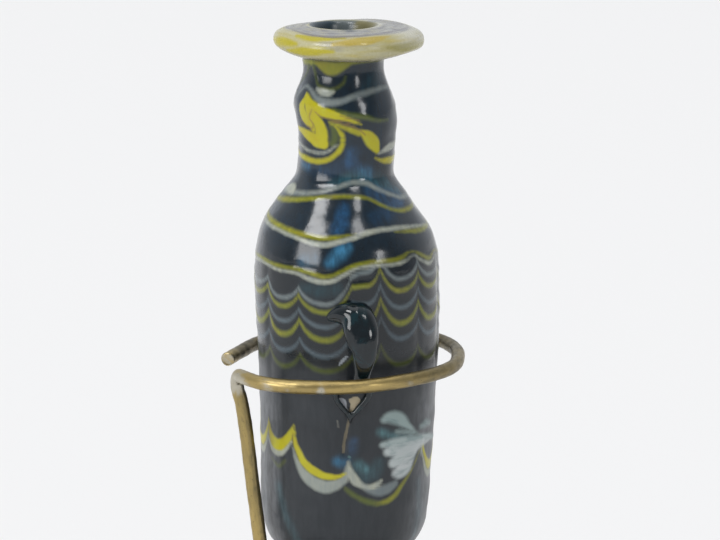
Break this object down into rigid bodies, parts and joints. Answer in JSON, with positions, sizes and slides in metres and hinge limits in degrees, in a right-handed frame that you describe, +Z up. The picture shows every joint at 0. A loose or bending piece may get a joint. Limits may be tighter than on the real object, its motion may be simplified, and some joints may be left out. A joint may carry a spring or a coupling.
{
  "type": "glass flask on wire stand",
  "caption": "Small hollow glass flask with a rim disk and lug handles, hanging in an open brass wire hoop whose leg stands in a dark wooden block.",
  "frame": {"origin": "centre of the block's footprint, on the surface that the felt pads stand on", "axes": "+Z up along the flask's axis, -Y towards the front lug handle, +X to the flask's right as seen from the front"},
  "size_m": [0.06, 0.06, 0.148],
  "materials": {
    "dark_glass": "glossy opaque blue-black glass with yellow and grey-white combed trails",
    "rim_glass": "glossy opaque cream and yellow marbled glass",
    "handle_glass": "glossy opaque blue-black glass",
    "brass_wire": "aged, dull, with brown tarnish",
    "brass_fittings": "plain turned brass",
    "block_wood": "ebonised, satin",
    "felt": "matt wool felt"
  },
  "bodies": {
    "stand": {"wire_stand": "brass_wire", "base_block": "block_wood", "leg_collar": "brass_fittings", "leg_washer": "brass_fittings", "leg_nut": "brass_fittings", "foot_pad_1": "felt", "foot_pad_2": "felt", "foot_pad_3": "felt", "foot_pad_4": "felt"},
    "flask": {"flask_body": "dark_glass", "rim_disk": "rim_glass", "front_handle": "handle_glass", "rear_handle": "handle_glass"}
  },
  "joints": [
    {"name": "flask_lift", "type": "slide", "parent": "stand", "child": "flask", "axis": [0, 0, 1], "range_m": [0, 0.046]}
  ]
}
